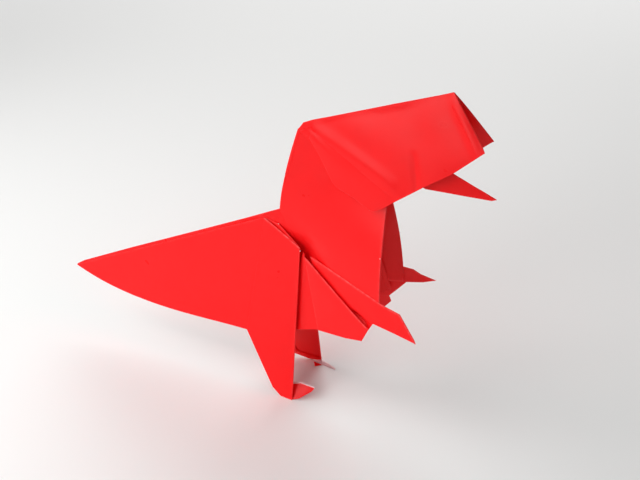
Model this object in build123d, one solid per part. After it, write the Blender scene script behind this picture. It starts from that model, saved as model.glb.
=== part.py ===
"""Folded paper tyrannosaurus: one square sheet, folded into a standing dinosaur.

The sheet runs as a tent from the tail tip to the hip, turns up into the neck and
turns forward again into the head. Pleats fan out on each side from one point under
the hip and free the legs, the flanks, the belly flaps and the arms.
The head looks along +X, the animal's left side is +Y, and the soles rest at Z = 0.
Corners are given in side view as (x, z), and each ply adds its own half width.
"""

import math
import os

from build123d import *

# Paper
PLY = 0.35  # a folded ply: two layers of paper with the air between them
FOLD_RADIUS = 0.24  # outside radius of a creased edge
PLY_STEP = 0.5  # how far a ply lies inside the one that covers it

# Ridge, from the tail tip forward over the hip, the nape and the crown
TAIL_LENGTH = 102.0
TAIL_RISE = 28.15
HIP_HEIGHT = 71.6
HIP_SETBACK = 9.4  # how far the hip lies behind the front of the legs
NECK_LENGTH = 33.9
NECK_LEAN = 77.6
CROWN_BEVEL = 2.55
CROWN_RISE = 48.0
HEAD_LENGTH = 53.3
HEAD_RISE = 22.3

# Hind legs and tail
STANCE = 12.2  # half the distance between the soles
SOLE_LENGTH = 4.7
HEEL_HEIGHT = 2.5
HEEL_LENGTH = 3.6
HOCK_BACK = 20.4  # back corner of the leg, behind its front edge
HOCK_HEIGHT = 22.1
TAIL_SAG = 3.7  # how far the tail's lower edge curves below a straight line
RIGHT_TOE_LENGTH = 6.7
RIGHT_TOE_HEIGHT = 6.4
RIGHT_TOE_TURN = 5.2  # how far the toe's tip swings in
RIGHT_TOE_LIFT = 2.6  # the tip of the raised toe, above the floor
LEFT_TOE_LENGTH = 7.3
LEFT_TOE_HEIGHT = 3.0
LEFT_TOE_TURN = 2.2
LEFT_TOE_LIFT = 0.3
TOE_KNUCKLE = (0.27, 0.97)  # upper corner of a toe, as shares of its length and height
TOE_POINT_RISE = 0.25  # upper end of the blunt tip, above the lift, as a share of the height
TOE_POINT_BACK = 0.87  # lower end of the blunt tip, as a share of the length
TOE_BALL = 0.31  # where the toe leaves the floor, as a share of the length
TOE_FLAP = 3.6  # width of the leaf that lies flat on the floor beside the left toe
TOE_FLAP_LENGTH = 2.9

# Hip pleats, which meet at the point of the hip
HIP_POINT_DROP = 11.1  # the pleats' meeting point, below the hip
HIP_POINT_SETBACK = 0.7
PLEAT_SHARE = 0.085  # where the raised pleat runs out, as a share of the tail's ridge
PLEAT_PEEK = 2.0  # how much of the second ply shows beyond the first
PLEAT_CROWN = 0.54  # where the second ply shows most, as a share of the raised pleat
PLEAT_DEPTH = 12.7  # how far the pleats run in behind the leg
BACK_HALF_WIDTH = 1.0  # the back between pleat and neck, at the height of the hip point

# Flank and belly flaps, which hang from the hip
FAN_REACH = 1.9  # where the pleats start to fan out, in front of the hip point
FAN_DROP = 3.3
FAN_HALF_WIDTH = 2.9
FLANK_REACH = 8.7
FLANK_DROP = 39.5  # lower corner of the flank, below the hip
FLANK_HALF_WIDTH = 8.2
FLANK_TUCK = 5.0  # how far the flank runs in behind the leg
VALLEY_REACH = 5.0  # hidden fold between flank and belly flap, in front of the flank's corner
VALLEY_RISE = 6.0
BELLY_REACH = 28.1
BELLY_DROP = 29.0  # point of the belly flap, below the hip
BELLY_HALF_WIDTH = 12.5
FLAP_SLIT = 0.75  # where the slit over the flap starts, as a share of the flap's edge
FLAP_DROOP = 0.3
FLAP_POINT = 1.4
FLAP_DEPTH = 5.6
FLAP_HEEL = 1.1
KEEL_LENGTH = 6.5
KEEL_DROP = 2.0

# Neck and chest
CHEST_REACH = 32.2
CHEST_HALF_WIDTH = 11.3
CHEST_DROP = 24.6  # bottom of the chest, below the hip
CHEST_HOLLOW = 0.07  # share by which the neck bends in between spine and front edge
CHEST_TAPER = 2.4  # how far the front edge leans back up to the throat
NECK_ROWS = 5
THROAT_DROP = 19.2  # narrow top of the chest's opening, below the crown
THROAT_HALF_WIDTH = 1.5
NAPE_BOW = 0.9
LINING_INSET = 7.2  # inner ply of the chest, behind its front edge
LINING_HEIGHT = 9.5
LINING_LENGTH = 13.2
LINING_OVERLAP = 1.3  # how far the inner ply's lower corner lies above the belly flap's point

# Arms
SHOULDER_REACH = 3.3
SHOULDER_RISE = 0.6  # above the point where the pleats start to fan out
WRIST_REACH = 34.5
WRIST_DROP = 19.1  # below the hip
WRIST_HALF_WIDTH = 11.9
ARM_DEPTH = 8.0
ELBOW_SETBACK = 4.0
ARM_ROOT = 3.0  # hidden end of the arm, in front of the flank's corner
ARM_ROOT_DROP = 31.6
ARM_TUCK = 12.0  # how far the arm's upper ply runs in behind the chest's front edge
ARM_TUCK_RISE = 2.0
# Corners of a hand as (forward, up) from the wrist: knuckle, tip and palm
RIGHT_HAND = ((5.7, -0.3), (12.8, -7.7), (5.2, -7.7))
LEFT_HAND = ((2.9, -1.0), (8.2, -4.0), (4.1, -5.1))

# Head and jaw, measured from the crown
SNOUT_DEPTH = 19.3
SNOUT_SLOPE = -50.4
JOWL_LENGTH = 38.5
JOWL_SLOPE = -21.0
SNOUT_HALF_WIDTH = 4.8
CHEEK_REACH = 27.4  # lowest corner of the cheek
CHEEK_DROP = 22.9
CHEEK_HALF_WIDTH = 6.0
HEM = ((16.7, -19.9), (11.9, -17.8), (5.8, -9.2))  # (forward, up) along the cheek's rear edge
JAW_REACH = 66.2
JAW_DROP = 11.7
JAW_HALF_WIDTH = 1.5
JAW_NOTCH = 1.9  # short cut at the jaw's tip
JAW_NOTCH_DROP = 1.0
JAW_ROOT_REACH = 36.9  # where the jaw's folded top starts, inside the head
JAW_ROOT_DROP = 1.0
JAW_LOW = 22.9  # lowest corner of the jaw, behind its tip
JAW_LOW_DROP = 1.7
JAW_HOLD = 0.7  # where the jaw is held, as a share of the fold from crown to jowl

RIGHT = -1
LEFT = 1


def step(start, length, rise):
    """Side view point at a length and an angle of rise from another."""
    angle = math.radians(rise)
    return (start[0] + length * math.cos(angle), start[1] + length * math.sin(angle))


def offset(start, forward, up):
    """Side view point at a distance forward and up from another."""
    return (start[0] + forward, start[1] + up)


def between(a, b, share):
    """Side view point at a share of the way from a to b."""
    return (a[0] + (b[0] - a[0]) * share, a[1] + (b[1] - a[1]) * share)


def flat(*corners):
    """Half width of the flat ply through three corners (x, half width, z)."""
    (x1, w1, z1), (x2, w2, z2), (x3, w3, z3) = corners
    spread = (x2 - x1) * (z3 - z1) - (x3 - x1) * (z2 - z1)
    along_x = ((w2 - w1) * (z3 - z1) - (w3 - w1) * (z2 - z1)) / spread
    along_z = ((x2 - x1) * (w3 - w1) - (x3 - x1) * (w2 - w1)) / spread
    return lambda x, z: w1 + along_x * (x - x1) + along_z * (z - z1)


def on(width, point):
    """Corner (x, half width, z) of a side view point on a ply."""
    return (point[0], width(*point), point[1])


def inside(width, depth):
    """Half width of a ply that lies at a depth inside another."""
    return lambda x, z: width(x, z) - depth


def spot(side, corner):
    """A corner (x, half width, z) as a point on one side of the body."""
    return Vector(corner[0], side * corner[1], corner[2])


def ply(side, *corners):
    """One ply through its corners. A pair in place of a corner is an arc: a point on it and its end."""
    edges = []
    last = spot(side, corners[0])
    for corner in corners[1:] + corners[:1]:
        if isinstance(corner[0], tuple):
            middle, end = (spot(side, point) for point in corner)
            edges.append(ThreePointArc(last, middle, end))
        else:
            end = spot(side, corner)
            edges.append(Line(last, end))
        last = end
    face = Face(Wire(edges))
    return extrude(face, amount=PLY / 2, dir=(0, 1, 0), both=True)


def crease(side, start, end):
    """Rounded bead of a folded edge between two corners."""
    first, last = spot(side, start), spot(side, end)
    axis = Plane(origin=first, z_dir=last - first)
    return extrude(axis * Circle(FOLD_RADIUS), amount=(last - first).length)


# Ridge points
hip = (-HIP_SETBACK, HIP_HEIGHT)
tail_tip = step(hip, -TAIL_LENGTH, TAIL_RISE)
nape = step(hip, NECK_LENGTH, NECK_LEAN)
crown = step(nape, CROWN_BEVEL, CROWN_RISE)
nose = step(crown, HEAD_LENGTH, HEAD_RISE)


def ridge(point):
    """Corner of a side view point on the ridge, where both sides meet."""
    return (point[0], 0.0, point[1])


# Tail and leg: one flat ply, through the ridge and the front of the sole
sole_front = (0.0, 0.0)
sole_back = (-SOLE_LENGTH, 0.0)
heel = (-SOLE_LENGTH - HEEL_LENGTH, HEEL_HEIGHT)
hock = (-HOCK_BACK, HOCK_HEIGHT)
under_tail = offset(between(tail_tip, hock, 0.5), 0.0, -TAIL_SAG)
hip_point = (-HIP_POINT_SETBACK, HIP_HEIGHT - HIP_POINT_DROP)
pleat_start = between(hip, tail_tip, PLEAT_SHARE)
leg_ply = flat(ridge(tail_tip), ridge(hip), (sole_front[0], STANCE, sole_front[1]))


def tail_and_leg(side):
    """Tail and hind leg, whose front edge and hip pleat are folded edges."""
    front = on(leg_ply, hip_point)
    start = on(leg_ply, pleat_start)
    below_sole = on(leg_ply, offset(sole_front, 0.0, -4 * FOLD_RADIUS))
    outline = [on(leg_ply, tail_tip), (on(leg_ply, under_tail), on(leg_ply, hock))]
    outline += [on(leg_ply, point) for point in (heel, sole_back, sole_front)]
    return [
        ply(side, *outline, front, start),
        split(crease(side, below_sole, front), Plane.XY, keep=Keep.TOP),
        crease(side, front, start),
    ]


def toe(side, length, height, turn, lift):
    """Toe turned forward and inward out of the leg's front edge."""
    top = offset(sole_front, 0.0, height)
    knuckle = offset(sole_front, TOE_KNUCKLE[0] * length, TOE_KNUCKLE[1] * height)
    tip = offset(sole_front, length, lift + TOE_POINT_RISE * height)
    under_tip = offset(sole_front, TOE_POINT_BACK * length, lift)
    ball = offset(sole_front, TOE_BALL * length, 0.0)
    leaf = flat(on(leg_ply, top), on(leg_ply, sole_front), (tip[0], STANCE - turn, tip[1]))
    corners = (top, knuckle, tip, under_tip, ball, sole_front)
    return [ply(side, *(on(leaf, corner) for corner in corners))]


def toe_flap(side):
    """Leaf of the toe that lies flat on the floor, inside the foot."""
    point = STANCE - TOE_FLAP
    corners = [(PLY, STANCE), (TOE_FLAP_LENGTH, (STANCE + point) / 2), (-PLY, point)]
    outline = Polygon(*((x, side * y) for x, y in corners), align=None)
    return [extrude(outline, amount=PLY, dir=(0, 0, 1))]


# Hip pleats
back_ply = flat(ridge(pleat_start), ridge(hip), (hip_point[0], BACK_HALF_WIDTH, hip_point[1]))
second_ply = inside(leg_ply, PLY_STEP)
peek_top = offset(between(hip_point, pleat_start, PLEAT_CROWN), 0.0, PLEAT_PEEK)
hidden_fold = step(hip_point, -PLEAT_DEPTH, TAIL_RISE)


def hip_pleats(side):
    """The raised pleat, the ply that peeks out beyond it, and the back next to the neck."""
    front = on(leg_ply, hip_point)
    start = on(leg_ply, pleat_start)
    under = on(second_ply, hidden_fold)
    peek = on(second_ply, peek_top)
    tip = on(second_ply, offset(hip_point, PLY_STEP, -PLY_STEP))
    back = on(back_ply, between(hip_point, peek_top, 1 / 4))
    low = on(back_ply, between(hidden_fold, pleat_start, 1 / 4))
    return [
        ply(side, start, front, under),
        ply(side, on(second_ply, pleat_start), peek, tip, under),
        crease(side, peek, tip),
        ply(side, ridge(pleat_start), ridge(hip), back, low),
        ply(side, peek, tip, low),
    ]


# Flank, belly and arm plies, which fan out below the hip point
fan = offset(hip_point, FAN_REACH, -FAN_DROP)
flank_low = (FLANK_REACH, HIP_HEIGHT - FLANK_DROP)
belly_tip = (BELLY_REACH, HIP_HEIGHT - BELLY_DROP)
belly_ply = flat(
    (fan[0], FAN_HALF_WIDTH, fan[1]),
    (belly_tip[0], BELLY_HALF_WIDTH, belly_tip[1]),
    (flank_low[0], FLANK_HALF_WIDTH, flank_low[1]),
)
flank_back = (-FLANK_TUCK, flank_low[1] - FLANK_TUCK)
flank_top = between(hip_point, fan, 1 / 2)
flank_ply = flat(
    (flank_top[0], FAN_HALF_WIDTH - PLY_STEP, flank_top[1]),
    (flank_low[0], FLANK_HALF_WIDTH - PLY_STEP, flank_low[1]),
    (flank_back[0], leg_ply(*flank_back) - PLY_STEP, flank_back[1]),
)


def flank_and_belly(side):
    """Flank pleat behind the leg's front edge, and the belly flap that covers part of it."""
    valley = offset(flank_low, VALLEY_REACH, VALLEY_RISE)
    slit = offset(between(fan, belly_tip, FLAP_SLIT), 0.0, -FLAP_DROOP)
    heel_of_flap = offset(belly_tip, -FLAP_HEEL, -FLAP_DEPTH)
    keel = offset(heel_of_flap, -KEEL_LENGTH, -KEEL_DROP)
    flap = [fan, slit, belly_tip, offset(belly_tip, FLAP_POINT, 0.0), heel_of_flap, keel, flank_low]
    leg_front = (sole_front[0], (flank_low[1] + flank_back[1]) / 2)
    return [
        ply(side, *(on(flank_ply, corner) for corner in (flank_top, valley, flank_low, flank_back))),
        ply(side, on(leg_ply, hip_point), on(leg_ply, leg_front), on(flank_ply, flank_back)),
        ply(side, *(on(belly_ply, corner) for corner in flap)),
        crease(side, on(belly_ply, fan), on(belly_ply, slit)),
        ply(side, on(belly_ply, fan), on(belly_ply, flank_low), on(flank_ply, valley)),
    ]


# Neck and chest: an open V in plan, widest at the bottom of the chest
chest_low = HIP_HEIGHT - CHEST_DROP
throat = crown[1] - THROAT_DROP


def spine_x(z):
    """X of the neck's back edge, which bows a little between hip and nape."""
    share = max(0.0, (z - hip[1]) / (nape[1] - hip[1]))
    return between(hip, nape, share)[0] - NAPE_BOW * math.sin(math.pi * min(share, 1.0))


def chest_edge(z):
    """X and half width of the neck's open front edge."""
    share = (throat - z) / (throat - chest_low)
    spread = math.sin(math.radians(90 * min(max(share, 0.0), 1.0)))
    width = THROAT_HALF_WIDTH + (CHEST_HALF_WIDTH - THROAT_HALF_WIDTH) * spread
    return (CHEST_REACH - CHEST_TAPER * (1 - share), width)


def chest_ply(x, z):
    """Half width of the neck at a side view point."""
    back, (front, width) = spine_x(z), chest_edge(z)
    share = (x - back) / (front - back)
    return width * share * (1 - 2 * CHEST_HOLLOW * (1 - share))


def neck():
    """Both sides of the neck, joined along the spine and open at the front."""
    heights = [chest_low + (nape[1] - chest_low) * row / NECK_ROWS for row in range(NECK_ROWS + 1)]
    rows = []
    for z in heights:
        back, (front, width) = spine_x(z), chest_edge(z)
        middle = (back + front) / 2
        bend = chest_ply(middle, z)
        apex = back + PLY / 2 * (middle - back) / bend
        outer = [(back, PLY / 2), (middle, bend + PLY / 2), (front, width + PLY / 2)]
        inner = [(front, width - PLY / 2), (middle, bend - PLY / 2)]
        left = outer + inner
        right = [(x, -y) for x, y in reversed(left)]
        rows.append(Plane.XY.offset(z) * Polygon(*left, (apex, 0.0), *right, align=None))
    return loft(rows)


def chest_lining(side):
    """Inner ply that shows through the open chest."""
    edge_top = (CHEST_REACH - LINING_INSET, chest_low + LINING_HEIGHT)
    edge_low = offset(belly_tip, 0.0, LINING_OVERLAP)
    root_top = offset(edge_top, -LINING_LENGTH, 0.0)
    root_low = offset(edge_low, -LINING_LENGTH, 0.0)
    lining = flat(
        on(chest_ply, root_top),
        (edge_top[0], chest_ply(*edge_top) - 2 * PLY_STEP, edge_top[1]),
        (edge_low[0], belly_ply(*edge_low) - 2 * PLY_STEP, edge_low[1]),
    )
    return [ply(side, *(on(lining, corner) for corner in (root_top, edge_top, edge_low, root_low)))]


shoulder = (SHOULDER_REACH, fan[1] + SHOULDER_RISE)
wrist = (WRIST_REACH, HIP_HEIGHT - WRIST_DROP)
elbow = offset(wrist, -ELBOW_SETBACK, -ARM_DEPTH)
arm_ply = flat(
    (shoulder[0], FAN_HALF_WIDTH, shoulder[1]),
    (wrist[0], WRIST_HALF_WIDTH, wrist[1]),
    (elbow[0], WRIST_HALF_WIDTH, elbow[1]),
)


def arm(side, hand):
    """Arm with its folded top edge, and the ply that joins it to the chest."""
    knuckle, tip, palm = (offset(wrist, forward, up) for forward, up in hand)
    hidden = (FLANK_REACH + ARM_ROOT, HIP_HEIGHT - ARM_ROOT_DROP)
    tuck = (CHEST_REACH - ARM_TUCK, chest_low + ARM_TUCK_RISE)
    outline = [on(arm_ply, corner) for corner in (shoulder, wrist, knuckle, tip, palm, elbow, hidden)]
    return [
        ply(side, *outline),
        crease(side, outline[0], outline[1]),
        ply(side, outline[0], outline[1], on(chest_ply, tuck)),
    ]


# Head: a tent over the top of the neck, with its ridge on top
snout = step(nose, SNOUT_DEPTH, SNOUT_SLOPE)
jowl = step(crown, JOWL_LENGTH, JOWL_SLOPE)
cheek = offset(crown, CHEEK_REACH, -CHEEK_DROP)
head_ply = flat(ridge(crown), ridge(nose), (snout[0], SNOUT_HALF_WIDTH, snout[1]))
cheek_ply = flat(ridge(crown), on(head_ply, jowl), (cheek[0], CHEEK_HALF_WIDTH, cheek[1]))


def head(side):
    """One side of the head: the face, and behind a soft fold the cheek that covers the neck."""
    face = [on(head_ply, corner) for corner in (crown, nose, snout, jowl)]
    hem = [on(cheek_ply, offset(crown, forward, up)) for forward, up in HEM]
    return [
        ply(side, *face),
        ply(side, on(cheek_ply, cheek), *hem, face[0], face[3]),
        ply(side, face[0], ridge(nape), hem[-1]),
        crease(side, face[0], face[3]),
    ]


def jaw(side):
    """Jaw: a narrow point folded along its top, which comes out of the head's open underside."""
    tip = offset(crown, JAW_REACH, -JAW_DROP)
    root = offset(crown, JAW_ROOT_REACH, -JAW_ROOT_DROP)
    low = offset(tip, -JAW_LOW, -JAW_LOW_DROP)
    leaf = flat(ridge(root), ridge(tip), (low[0], JAW_HALF_WIDTH, low[1]))
    outline = [root, tip, offset(tip, -JAW_NOTCH, -JAW_NOTCH_DROP), low, between(crown, jowl, JAW_HOLD)]
    return [ply(side, *(on(leaf, corner) for corner in outline))]


def side_plies(side, hand):
    """Every ply of one side of the body."""
    plies = tail_and_leg(side)
    plies += hip_pleats(side)
    plies += flank_and_belly(side)
    plies += chest_lining(side)
    plies += arm(side, hand)
    plies += head(side)
    plies += jaw(side)
    return plies


pieces = [neck()] + side_plies(RIGHT, RIGHT_HAND) + side_plies(LEFT, LEFT_HAND)
pieces += toe(RIGHT, RIGHT_TOE_LENGTH, RIGHT_TOE_HEIGHT, RIGHT_TOE_TURN, RIGHT_TOE_LIFT)
pieces += toe(LEFT, LEFT_TOE_LENGTH, LEFT_TOE_HEIGHT, LEFT_TOE_TURN, LEFT_TOE_LIFT)
pieces += toe_flap(LEFT)
pieces += [crease(RIGHT, ridge(tail_tip), ridge(hip)), crease(RIGHT, ridge(crown), ridge(nose))]
sheet = pieces[0].fuse(*pieces[1:])
box = sheet.bounding_box()
sheet = Pos(-box.center().X, -box.center().Y, -box.min.Z) * sheet
print("solids", len(sheet.solids()), "valid", sheet.is_valid, "volume", sheet.volume, "moved", -box.center())

os.makedirs("parts", exist_ok=True)
export_step(sheet, "parts/folded_sheet.step")
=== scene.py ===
"""Red folded paper tyrannosaurus standing on a pale table.

The sheet is built leaf by leaf. A leaf is one layer of paper between folds. It is laid
over its corner points, swells and ripples a little as real paper does, turns round its
folded edges, and gets its thickness last. Lengths are in millimetres until a piece is
done. Corners are side view points (x, z), and each leaf adds its own half width.
"""

import logging
import math
from collections.abc import Callable, Iterable, Sequence
from dataclasses import dataclass, field
from enum import Enum

import bmesh
import bpy
import numpy as np
from mathutils import Matrix, Vector, noise


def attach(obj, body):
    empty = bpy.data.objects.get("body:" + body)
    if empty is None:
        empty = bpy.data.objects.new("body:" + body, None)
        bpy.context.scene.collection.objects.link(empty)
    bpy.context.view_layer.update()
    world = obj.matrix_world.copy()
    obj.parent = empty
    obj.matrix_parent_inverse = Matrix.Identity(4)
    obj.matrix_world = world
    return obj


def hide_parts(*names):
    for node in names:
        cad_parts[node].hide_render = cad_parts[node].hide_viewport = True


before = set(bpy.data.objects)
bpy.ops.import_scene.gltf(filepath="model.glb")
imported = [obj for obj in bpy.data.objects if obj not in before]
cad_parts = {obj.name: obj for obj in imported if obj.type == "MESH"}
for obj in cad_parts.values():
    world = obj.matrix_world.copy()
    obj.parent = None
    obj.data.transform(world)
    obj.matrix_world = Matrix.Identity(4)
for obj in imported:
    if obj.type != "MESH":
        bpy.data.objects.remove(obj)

logging.basicConfig(level=logging.INFO, format="%(name)s: %(message)s")
log = logging.getLogger("paper_dinosaur")

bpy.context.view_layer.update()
NODE = "folded_sheet"
BODY = "root"
MM = 0.001
SHIFT = Vector((16.831, 0.857, 0.0))  # the zero of all corners, the front of the soles, in the frame
NO_LENGTH = 1e-9  # below this a length, or its square, counts as none
SHORT = 1e-6  # below this a length is too short to divide by or to give a direction

Pair = tuple[float, float]
Triple = tuple[float, float, float]
Width = Callable[[float, float], float]


class Side(Enum):
    """The two sides of the animal, as the sign of Y."""

    RIGHT = -1
    LEFT = 1


class Rim(Enum):
    """What shows on a leaf or on its cut rim, as the place of the material in the piece."""

    RED = 0
    WHITE = 1


# Plane geometry


def between(a: Pair, b: Pair, share: float) -> Pair:
    """Side view point at a share of the way from a to b."""
    return (a[0] + (b[0] - a[0]) * share, a[1] + (b[1] - a[1]) * share)


def step(start: Pair, length: float, rise: float) -> Pair:
    """Side view point at a length and an angle of rise from another."""
    angle = math.radians(rise)
    return (start[0] + length * math.cos(angle), start[1] + length * math.sin(angle))


def offset(start: Pair, forward: float, up: float) -> Pair:
    """Side view point at a distance forward and up from another."""
    return (start[0] + forward, start[1] + up)


def flat(*corners: Triple) -> Width:
    """Half width of the flat leaf through three corners.

    Args:
        corners: three corners as (x, half width, z).

    Returns:
        A function that gives the half width at a side view point.
    """
    (x1, w1, z1), (x2, w2, z2), (x3, w3, z3) = corners
    spread = (x2 - x1) * (z3 - z1) - (x3 - x1) * (z2 - z1)
    along_x = ((w2 - w1) * (z3 - z1) - (w3 - w1) * (z2 - z1)) / spread
    along_z = ((x2 - x1) * (w3 - w1) - (x3 - x1) * (w2 - w1)) / spread
    return lambda x, z: w1 + along_x * (x - x1) + along_z * (z - z1)


def bow(start: Pair, end: Pair, sag: float, skew: float = 0.0, count: int = 14) -> list[Pair]:
    """Side view points of a shallow curve, without its first point.

    Args:
        start: where the curve starts.
        end: where it ends.
        sag: how far it drops below the straight line at its middle.
        skew: how much more of the sag lies in the first half.
        count: how many pieces it has.

    Returns:
        The points after start.
    """
    points = []
    for i in range(1, count + 1):
        share = i / count
        drop = 4 * sag * share * (1 - share) * (1 + skew * (1 - 2 * share))
        points.append(offset(between(start, end, share), 0.0, -drop))
    return points


# Landmarks


@dataclass(frozen=True)
class Landmarks:
    """Side view points and sizes that several sub-assemblies share."""

    tail_length: float = 102.0
    tail_rise: float = 28.15  # degrees
    hip: Pair = (-9.4, 71.6)
    neck_length: float = 33.9
    neck_lean: float = 77.6
    bevel_length: float = 2.55  # the cut-off corner between nape and crown
    bevel_rise: float = 48.0
    head_length: float = 53.3
    head_rise: float = 22.3
    sole: Pair = (0.0, 0.0)  # front of the soles
    hip_point: Pair = (-0.7, 60.5)  # where the pleats meet
    stance: float = 12.2  # half width at the soles
    layer: float = 0.5  # how far one layer lies behind the next

    @property
    def tail_tip(self) -> Pair:
        """Tip of the tail."""
        return step(self.hip, -self.tail_length, self.tail_rise)

    @property
    def nape(self) -> Pair:
        """Top of the neck's back edge."""
        return step(self.hip, self.neck_length, self.neck_lean)

    @property
    def crown(self) -> Pair:
        """Rear end of the head's ridge."""
        return step(self.nape, self.bevel_length, self.bevel_rise)

    @property
    def nose(self) -> Pair:
        """Front end of the head's ridge."""
        return step(self.crown, self.head_length, self.head_rise)

    def leg_width(self) -> Width:
        """Half width of the flat outer leaf of tail and leg.

        Returns:
            A function that gives the half width at a side view point.
        """
        return flat(
            (self.tail_tip[0], 0.0, self.tail_tip[1]),
            (self.hip[0], 0.0, self.hip[1]),
            (self.sole[0], self.stance, self.sole[1]),
        )


# Leaves


class Border:
    """A border of a leaf: a line through points, read by its share of the length."""

    def __init__(self, points: Sequence[Vector]) -> None:
        """Measures the line.

        Args:
            points: the corners that the border runs through, in millimetres.
        """
        self.points = np.array([tuple(p) for p in points], float)
        steps = np.linalg.norm(np.diff(self.points, axis=0), axis=1)
        self.length = float(steps.sum())
        total = self.length or 1.0
        self.shares = np.concatenate([[0.0], np.cumsum(steps) / total])
        self.shares[-1] = 1.0

    def at(self, share: float) -> np.ndarray:
        """Point at a share of the length."""
        return np.array([np.interp(share, self.shares, self.points[:, k]) for k in range(3)])

    def corners(self, sharp: float = 6.0) -> list[float]:
        """Places where the border turns.

        Args:
            sharp: the smallest turn that counts, in degrees.

        Returns:
            Their shares of the length.
        """
        found = []
        for i in range(1, len(self.points) - 1):
            before = self.points[i] - self.points[i - 1]
            after = self.points[i + 1] - self.points[i]
            size = np.linalg.norm(before) * np.linalg.norm(after)
            if size > NO_LENGTH and before @ after / size < math.cos(math.radians(sharp)):
                found.append(float(self.shares[i]))
        return found


@dataclass(frozen=True)
class Bend:
    """How far a leaf leaves its flat shape, in millimetres."""

    swell: float = 0.25  # outward at its middle
    ripple: float = 0.12  # slow waves
    wave: float = 22.0  # length of those waves
    seed: float = 1.0

    SEED_STRIDE = 7.3  # moves each seed to a part of the noise of its own

    def ripple_at(self, point: np.ndarray) -> float:
        """Height of the slow waves at a point."""
        start = Vector((self.seed * self.SEED_STRIDE, 0.0, self.seed))
        return self.ripple * 2 * noise.noise(Vector(point / self.wave) + start)


@dataclass(frozen=True)
class Dent:
    """A soft line pressed into a leaf. A negative height is a valley."""

    start: Vector
    end: Vector
    height: float
    width: float

    def height_at(self, point: np.ndarray) -> float:
        """Height of the pressed line, which fades towards its ends.

        Args:
            point: a point in millimetres.

        Returns:
            How far the leaf is pressed outward there.
        """
        start, end = np.array(self.start, float), np.array(self.end, float)
        along = end - start
        share = float(np.clip((point - start) @ along / (along @ along), 0.0, 1.0))
        away = float(np.linalg.norm(point - start - share * along))
        fade = math.sin(math.pi * share) ** 0.5 if 0 < share < 1 else 0.0
        return self.height * fade * math.exp(-((away / self.width) ** 2))


@dataclass(frozen=True)
class Hem:
    """A folded border: the sheet turns round and runs back behind the leaf."""

    border: str  # bottom, top, left or right
    depth: float = 2.5
    radius: float = 0.2
    wear_and_highlight: float = 0.6  # how pale the folded edge is painted: partly wear of the dye, partly a painted highlight
    tapered: bool = True

    TURN_STEPS = 6  # pieces of the half turn
    RUN_BACK = (0.15, 0.5, 1.0)  # shares of the depth that get a row of points
    INNER_ROW = 3  # the row of the leaf's grid that shows which way the leaf runs
    END_RADIUS = 0.25  # share of the radius at the border's ends
    END_LENGTH = 2.0  # length along the border over which it grows by a whole radius
    TAPER = 1.5  # depths from the border's ends at which a tapered hem is whole
    TAPER_END = 0.05  # share of its depth at the ends

    def turned(
        self, edge: np.ndarray, inner: np.ndarray, at: int, to_end: float, out: np.ndarray
    ) -> list[np.ndarray]:
        """The sheet's path round the border and back, at one point of the border.

        Args:
            edge: the points of the border.
            inner: the points of a row further in.
            at: which of them is meant.
            to_end: how far it is from the nearer end of the border.
            out: the rough direction of the outside.

        Returns:
            The points of the path, from the outer face to the inner end of the hem.
        """
        tangent = edge[min(at + 1, len(edge) - 1)] - edge[max(at - 1, 0)]
        tangent /= max(np.linalg.norm(tangent), NO_LENGTH)
        inward = inner[at] - edge[at]
        inward -= tangent * (inward @ tangent)
        size = np.linalg.norm(inward)
        if size < SHORT:
            inward = np.cross(tangent, out)
            size = max(np.linalg.norm(inward), NO_LENGTH)
        inward /= size
        normal = np.cross(tangent, inward)
        normal /= max(np.linalg.norm(normal), NO_LENGTH)
        if normal @ out < 0:
            normal = -normal
        radius = self.radius * min(1.0, self.END_RADIUS + to_end / self.END_LENGTH)
        depth = self.depth
        if self.tapered:
            depth *= min(1.0, to_end / (self.depth * self.TAPER) + self.TAPER_END)
        centre = edge[at] - normal * radius
        angles = [k * math.pi / self.TURN_STEPS for k in range(self.TURN_STEPS + 1)]
        path = [centre + radius * (math.cos(a) * normal - math.sin(a) * inward) for a in angles]
        return path + [path[-1] + inward * depth * share for share in self.RUN_BACK]


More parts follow.
